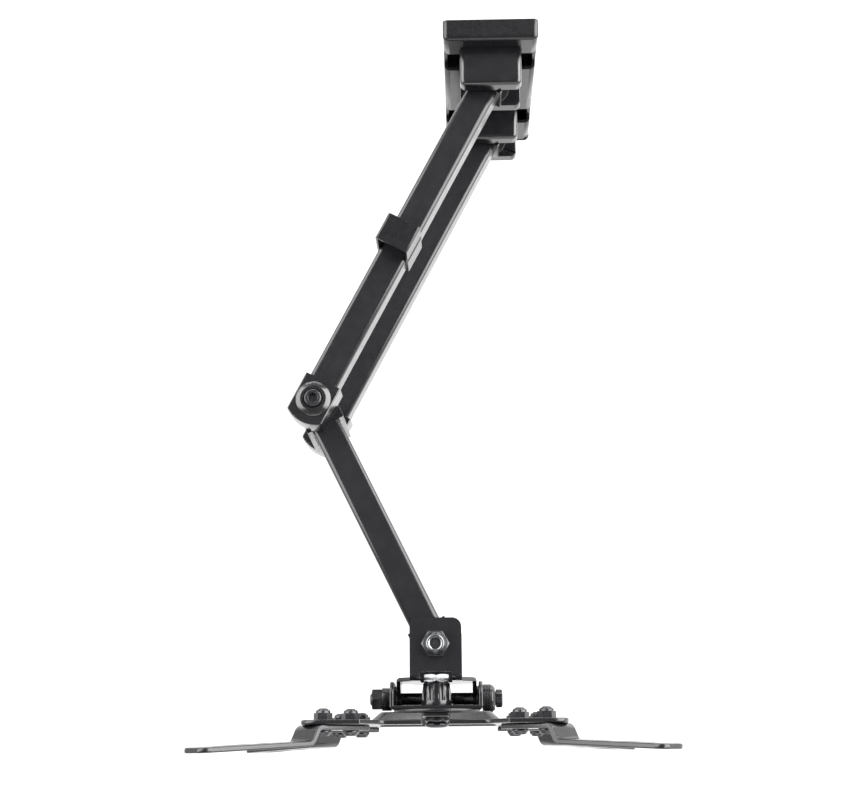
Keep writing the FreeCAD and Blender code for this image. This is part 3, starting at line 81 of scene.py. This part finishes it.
class Tree:
    """A short hand for the shader nodes of a material or the world."""

    def __init__(self, owner, empty=False):
        owner.use_nodes = True
        self.tree = owner.node_tree
        if empty:
            self.tree.nodes.clear()

    def feed(self, node, name, value):
        """Sets an input to a value, or links it to another node's output."""
        if isinstance(value, bpy.types.NodeSocket):
            self.tree.links.new(value, node.inputs[name])
        else:
            node.inputs[name].default_value = value

    def add(self, kind, inputs=None, **settings):
        node = self.tree.nodes.new(kind)
        for name, value in settings.items():
            setattr(node, name, value)
        for name, value in (inputs or {}).items():
            self.feed(node, name, value)
        return node

    def ramp(self, source, low, high, start, end):
        """Colours between two shades."""
        node = self.add("ShaderNodeValToRGB", {"Fac": source})
        first, last = node.color_ramp.elements
        first.position, first.color = start, (*low, 1)
        last.position, last.color = end, (*high, 1)
        return node.outputs["Color"]

    def map_range(self, source, low, high, start, end):
        """Maps a range of the source to another range."""
        node = self.add("ShaderNodeMapRange", {
            "Value": source, "From Min": start, "From Max": end, "To Min": low, "To Max": high})
        return node.outputs["Result"]


NOISE_LOW = 0.35
NOISE_HIGH = 0.65


class Finish(Tree):
    """A material with its shade, roughness and relief driven by noises."""

    def __init__(self, name):
        self.material = bpy.data.materials.new(name)
        super().__init__(self.material)
        self.shader = self.tree.nodes["Principled BSDF"]
        self.place = self.add("ShaderNodeTexCoord").outputs["Object"]

    def noise(self, scale, detail=4.0, roughness=0.55):
        node = self.add("ShaderNodeTexNoise", {
            "Scale": scale, "Detail": detail, "Roughness": roughness, "Vector": self.place})
        return node.outputs["Fac"]

    def set(self, name, value):
        self.feed(self.shader, name, value)

    def mottle(self, shade, darker, lighter, noise):
        """Base colour wandering round a shade."""
        low = [c * darker for c in shade]
        high = [c * lighter for c in shade]
        self.set("Base Color", self.ramp(noise, low, high, NOISE_LOW, NOISE_HIGH))

    def roughen(self, low, high, noise):
        self.set("Roughness", self.map_range(noise, low, high, NOISE_LOW, NOISE_HIGH))

    def bump(self, noise, depth_mm, strength, under=None):
        inputs = {"Strength": strength, "Distance": depth_mm * MM, "Height": noise}
        if under is not None:
            inputs["Normal"] = under
        return self.add("ShaderNodeBump", inputs).outputs["Normal"]


def powder_coat(name, shade, rough, ior=1.5):
    """Satin black powder coat: orange peel, a fine grain and faint patches."""
    f = Finish(name)
    f.mottle(shade, 0.9, 1.12, f.noise(38.0, detail=3.0))
    f.roughen(rough - 0.02, rough + 0.03, f.noise(160.0, detail=3.0))
    f.set("Metallic", 0.0)
    f.set("IOR", ior)
    peel = f.bump(f.noise(420.0, detail=2.0, roughness=0.4), depth_mm=0.03, strength=0.18)
    grain = f.noise(2600.0, detail=2.0, roughness=0.5)
    f.set("Normal", f.bump(grain, depth_mm=0.015, strength=0.16, under=peel))
    return f.material


def moulded_plastic(name, shade, rough):
    """Moulded plastic with a spark-eroded grain."""
    f = Finish(name)
    f.mottle(shade, 0.9, 1.12, f.noise(60.0, detail=3.0))
    f.roughen(rough - 0.02, rough + 0.02, f.noise(240.0))
    f.set("IOR", 1.46)
    grain = f.noise(2400.0, detail=3.0, roughness=0.6)
    f.set("Normal", f.bump(grain, depth_mm=0.02, strength=0.25))
    return f.material


def bolt_steel(name, shade, rough, metallic):
    """Plated or blackened steel, a little mottled, with fine pitting."""
    f = Finish(name)
    f.mottle(shade, 0.8, 1.15, f.noise(120.0))
    f.roughen(rough - 0.05, rough + 0.08, f.noise(420.0))
    f.set("Metallic", metallic)
    pits = f.noise(1500.0, detail=3.0, roughness=0.6)
    f.set("Normal", f.bump(pits, depth_mm=0.015, strength=0.35))
    return f.material


def gloss_plastic(name, shade):
    """Glossy black plastic with faint flow marks."""
    f = Finish(name)
    f.mottle(shade, 0.8, 1.3, f.noise(50.0, detail=3.0))
    f.roughen(0.12, 0.2, f.noise(300.0))
    f.set("IOR", 1.52)
    flow = f.noise(260.0, detail=2.0, roughness=0.4)
    f.set("Normal", f.bump(flow, depth_mm=0.02, strength=0.2))
    return f.material


MATERIALS = {
    "black_coat": powder_coat("black_coat", (0.0075, 0.0075, 0.0085), rough=0.24),
    "cast_black": powder_coat("cast_black", (0.0045, 0.0045, 0.0052), rough=0.22, ior=1.62),
    "black_plastic": moulded_plastic("black_plastic", (0.004, 0.004, 0.0046), rough=0.28),
    "nylon": moulded_plastic("nylon", (0.009, 0.009, 0.0096), rough=0.30),
    "black_bolt": bolt_steel("black_bolt", (0.045, 0.045, 0.048), rough=0.26, metallic=0.75),
    "zinc": bolt_steel("zinc", (0.19, 0.194, 0.20), rough=0.28, metallic=1.0),
    "gloss_black": gloss_plastic("gloss_black", (0.010, 0.010, 0.011)),
}


# CAD nodes keep their shape; each gets its finish and soft edges.
ADAPTER_ARMS = ("upper_right_adapter_arm", "upper_left_adapter_arm",
                "lower_right_adapter_arm", "lower_left_adapter_arm")
EDGE_MM = {
    "wall_plate": 0.35, "upper_hinge_bracket": 0.6, "lower_hinge_bracket": 0.6,
    "cable_clip": 0.35, "upper_elbow_block": 0.4, "lower_elbow_block": 0.4,
    "elbow_knuckle": 0.6, "head_knuckle": 0.6, "swivel_bracket": 0.45, "tilt_frame": 0.8,
    "level_cone_nut": 0.25, "vesa_plate": 0.7, **dict.fromkeys(ADAPTER_ARMS, 0.9),
}
SMALL_EDGE_MM = 0.2
EDGE_STEPS = 2
EDGE_FROM_DEG = 32
WELD_MM = 0.002
FLAT_DEG = 0.4
# Wide edges on thin sheet, which the bevel's clamp would make too narrow.
FREE_EDGES = (*ADAPTER_ARMS, "vesa_plate", "tilt_frame")


def finish_cad_nodes():
    slots = {row["node"]: row["material_slot"] for row in frame["record"]["subparts"]}
    for name, node in frame["nodes"].items():
        node.data.materials.clear()
        node.data.materials.append(MATERIALS[slots[name]])
        weld = node.modifiers.new("weld", "WELD")
        weld.merge_threshold = WELD_MM * MM
        flat = node.modifiers.new("flat_faces", "DECIMATE")
        flat.decimate_type = "DISSOLVE"
        flat.angle_limit = math.radians(FLAT_DEG)
        bevel = node.modifiers.new("soft_edges", "BEVEL")
        bevel.width = EDGE_MM.get(name, SMALL_EDGE_MM) * MM
        bevel.segments = EDGE_STEPS
        bevel.limit_method = "ANGLE"
        bevel.angle_limit = math.radians(EDGE_FROM_DEG)
        bevel.use_clamp_overlap = name not in FREE_EDGES
        bevel.harden_normals = True


# Small pieces in mesh code, sized in millimetres

def add_mesh(name, corners, faces, slot, body, smooth_deg):
    mesh = bpy.data.meshes.new(name)
    mesh.from_pydata([tuple(value * MM for value in corner) for corner in corners], [], faces)
    work = bmesh.new()
    work.from_mesh(mesh)
    bmesh.ops.recalc_face_normals(work, faces=work.faces)
    work.to_mesh(mesh)
    work.free()
    for face in mesh.polygons:
        face.use_smooth = True
    mesh.set_sharp_from_angle(angle=math.radians(smooth_deg))
    thing = bpy.data.objects.new(name, mesh)
    mesh.materials.append(MATERIALS[slot])
    scene.collection.objects.link(thing)
    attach(thing, body)


def turned(name, outline, axis, centre, slot, body, steps, smooth_deg):
    """Turns a closed (radius, height) outline about an axis through the centre."""
    corners = []
    faces = []
    count = len(outline)
    for step in range(steps):
        angle = 2 * math.pi * step / steps
        for radius, height in outline:
            u = radius * math.cos(angle)
            v = radius * math.sin(angle)
            offset = {"x": (height, u, v), "y": (u, height, v), "z": (u, v, height)}[axis]
            corners.append([centre[i] + offset[i] for i in range(3)])
    for step in range(steps):
        here = step * count
        there = ((step + 1) % steps) * count
        for index in range(count):
            follower = (index + 1) % count
            faces.append((here + index, here + follower, there + follower, there + index))
    add_mesh(name, corners, faces, slot, body, smooth_deg)


def node_box(node):
    """Lowest corner, highest corner and middle of a CAD node, in millimetres."""
    low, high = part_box(node)
    low = [value / MM for value in low]
    high = [value / MM for value in high]
    middle = [(a + b) / 2 for a, b in zip(low, high)]
    return low, high, middle


NUT_RIM = [(5.75, -0.6), (5.75, 0.1), (5.5, 0.4), (4.6, 0.45), (3.7, 0.1), (3.5, -0.4),
           (3.5, -0.6)]


def add_nut_ring():
    """Bright rim round the hollow end of the bolt, in the lock nut's dark collar."""
    _, high, middle = node_box("swivel_nut")
    turned("swivel_nut_rim", NUT_RIM, "z", (middle[0], middle[1], high[2]), "zinc",
           "swivel_head", steps=64, smooth_deg=50)


SPRINGS = 5
SPRING_PITCH = 1.05
SPRING_START = 0.4
# Each spring's rise over the knob's radius, and the distance along the bolt.
SPRING_RIM = [(0.25, 0.15), (0.32, 0.45), (0.25, 0.75), (-0.02, 0.9)]
# The stack's inside, hidden in the knob, against the same radius.
SPRING_BORE = -0.4
SPRING_END = 0.05


def add_disc_springs():
    """Stack of disc springs at the frame side of the tilt knob."""
    low, high, middle = node_box("tilt_knob")
    radius = (high[2] - low[2]) / 2
    outline = [(radius + SPRING_BORE, SPRING_START - SPRING_END)]
    for spring in range(SPRINGS):
        start = SPRING_START + spring * SPRING_PITCH
        outline += [(radius + rise, start + along) for rise, along in SPRING_RIM]
    outline.append((radius + SPRING_BORE, outline[-1][1] + SPRING_END))
    turned("tilt_disc_springs", outline, "x", (low[0], middle[1], middle[2]), "black_bolt",
           "tilt_head", steps=72, smooth_deg=30)


STAR_RADIUS = 5.25
STAR_WAVE = 0.62
STAR_POINTS = 6
STAR_STEPS = 24
# Distance from the bolt's end, and the share of the full radius there.
STAR_LEVELS = [(-4.3, 0.94), (-3.9, 1.0), (-0.5, 1.0), (0.1, 0.86)]


def add_star_cap():
    """Star-shaped end on the tilt bolt's head."""
    _, high, middle = node_box("tilt_bolt")
    corners = []
    faces = []
    for along, share in STAR_LEVELS:
        for k in range(STAR_STEPS):
            angle = 2 * math.pi * k / STAR_STEPS
            radius = (STAR_RADIUS + STAR_WAVE * math.cos(STAR_POINTS * angle)) * share
            corners.append((high[0] + along, middle[1] + radius * math.cos(angle),
                            middle[2] + radius * math.sin(angle)))
    for level in range(len(STAR_LEVELS) - 1):
        for k in range(STAR_STEPS):
            a = level * STAR_STEPS + k
            b = level * STAR_STEPS + (k + 1) % STAR_STEPS
            faces.append((a, b, b + STAR_STEPS, a + STAR_STEPS))
    last = len(corners) - STAR_STEPS
    faces.append(tuple(range(STAR_STEPS))[::-1])
    faces.append(tuple(range(last, last + STAR_STEPS)))
    add_mesh("tilt_bolt_star", corners, faces, "black_bolt", "tilt_head", smooth_deg=35)


REAR_TURN = math.radians(27.8)
WALL_PIVOT = (0.0, -27.5)


def on_rear_arm(across, along, up):
    """A point by the upper rear arm, from the wall hinge axis."""
    x = WALL_PIVOT[0] - math.sin(REAR_TURN) * along + math.cos(REAR_TURN) * across
    y = WALL_PIVOT[1] - math.cos(REAR_TURN) * along - math.sin(REAR_TURN) * across
    return (x, y, up)


SEAM_ENDS = (126.9, 145.6)
SEAM_SECTION = ((11.5, 57.4), (12.25, 57.6), (12.25, 58.4), (11.5, 58.6))


def add_clip_seam():
    """Moulded line where the clip's cable room meets its sleeve, on the right side."""
    corners = [on_rear_arm(across, along, up)
               for along in SEAM_ENDS for across, up in SEAM_SECTION]
    faces = [(0, 1, 5, 4), (1, 2, 6, 5), (2, 3, 7, 6), (3, 0, 4, 7), (0, 3, 2, 1), (4, 5, 6, 7)]
    add_mesh("clip_rib", corners, faces, "black_plastic", "rear_arms", smooth_deg=30)


BOLT_DOME = [(3.1, 0.6), (3.1, -1.3), (4.6, -1.35), (6.3, -1.0), (7.4, -0.3), (7.75, 0.4),
             (7.75, 1.2), (7.0, 1.2)]


def add_level_dome():
    """Domed front of the levelling bolt's head, seen through the plate's cut-out."""
    low, _, middle = node_box("level_bolt")
    turned("level_bolt_dome", BOLT_DOME, "y", (middle[0], low[1], middle[2]), "black_bolt",
           "tilt_head", steps=64, smooth_deg=35)


# Floor, surroundings and light

FLOOR_Z = -0.75
FLOOR_HALF = 8.0
FLOOR_SHADE = 0.9
GLOW_SHARE = 0.9
SEEN_GLOW = 1.13
# Painted reflection: seen in reflections the floor glows brighter than white, more so from the
# left of the mount to its right.
MIRRORED_X = (-0.7, 0.7)
MIRRORED_GLOW = (1.15, 2.2)


def white_surface(name):
    """Seen or refracted it is white; in reflections it glows brighter than white as a painted
    reflection; to other light it is a pale matt floor.
    """
    material = bpy.data.materials.new(name)
    t = Tree(material, empty=True)
    path = t.add("ShaderNodeLightPath").outputs
    seen = t.add("ShaderNodeMath", {0: path["Is Camera Ray"], 1: path["Is Glossy Ray"]},
                 operation="MAXIMUM")
    seen = t.add("ShaderNodeMath", {0: seen.outputs[0], 1: path["Is Transmission Ray"]},
                 operation="MAXIMUM")
    share = t.add("ShaderNodeMath", {0: seen.outputs[0], 1: GLOW_SHARE}, operation="MULTIPLY")
    where = t.add("ShaderNodeSeparateXYZ", {0: t.add("ShaderNodeTexCoord").outputs["Object"]})
    across = t.map_range(where.outputs["X"], *MIRRORED_GLOW, *MIRRORED_X)
    # Painted reflection: glossy rays see the floor's glow, graded from left to right.
    strength = t.map_range(path["Is Glossy Ray"], SEEN_GLOW, across, 0.0, 1.0)
    matt = t.add("ShaderNodeBsdfDiffuse", {"Color": (*[FLOOR_SHADE] * 3, 1)})
    glow = t.add("ShaderNodeEmission", {"Color": (1, 1, 1, 1), "Strength": strength})
    mix = t.add("ShaderNodeMixShader",
                {"Fac": share.outputs[0], 1: matt.outputs[0], 2: glow.outputs[0]})
    t.add("ShaderNodeOutputMaterial", {"Surface": mix.outputs[0]})
    return material


def add_floor():
    mesh = bpy.data.meshes.new("floor")
    corners = [(x * FLOOR_HALF, y * FLOOR_HALF, FLOOR_Z)
               for x, y in ((-1, -1), (1, -1), (1, 1), (-1, 1))]
    mesh.from_pydata(corners, [], [(0, 1, 2, 3)])
    floor = bpy.data.objects.new("floor", mesh)
    mesh.materials.append(white_surface("floor_white"))
    scene.collection.objects.link(floor)


HORIZON = 0.9
CEILING = 0.32
# Heights between which the horizon's shade goes over into the ceiling's.
CEILING_FADE = (0.35, 0.85)
WORLD_STRENGTH = 0.75


def add_world():
    """White to the camera; to the object a pale horizon under a dimmer ceiling."""
    world = bpy.data.worlds.new("studio")
    scene.world = world
    t = Tree(world, empty=True)
    where = t.add("ShaderNodeSeparateXYZ", {0: t.add("ShaderNodeTexCoord").outputs["Generated"]})
    shade = t.ramp(where.outputs["Z"], [HORIZON] * 3, [CEILING] * 3, *CEILING_FADE)
    around = t.add("ShaderNodeBackground", {"Color": shade, "Strength": WORLD_STRENGTH})
    plain = t.add("ShaderNodeBackground", {"Color": (1, 1, 1, 1), "Strength": 1.0})
    seen = t.add("ShaderNodeLightPath").outputs["Is Camera Ray"]
    mix = t.add("ShaderNodeMixShader", {"Fac": seen, 1: around.outputs[0], 2: plain.outputs[0]})
    t.add("ShaderNodeOutputWorld", {"Surface": mix.outputs[0]})


LAMPS_AIM = Vector((-0.04, -0.24, 0.0))
# Name, place and size in metres, and power in watts.
LAMPS = [
    ("left_panel", (-1.6, 0.25, 1.05), (3.0, 2.2), 132),
    ("right_panel", (1.6, 0.25, 1.05), (3.0, 2.2), 195),
    ("front_panel", (0.0, -2.3, 0.60), (2.4, 0.8), 18),
    ("rear_panel", (0.0, 1.9, -0.15), (2.4, 0.7), 31),
]


def add_lamp(name, place, size, power):
    data = bpy.data.lights.new(name, "AREA")
    data.shape = "RECTANGLE"
    data.size, data.size_y = size
    data.energy = power
    lamp = bpy.data.objects.new(name, data)
    lamp.location = place
    lamp.rotation_euler = (LAMPS_AIM - Vector(place)).to_track_quat("-Z", "Y").to_euler()
    scene.collection.objects.link(lamp)


add_camera()
finish_cad_nodes()
add_nut_ring()
add_disc_springs()
add_star_cap()
add_clip_seam()
add_level_dome()
add_floor()
add_world()
for row in LAMPS:
    add_lamp(*row)

scene.view_settings.view_transform = "Standard"
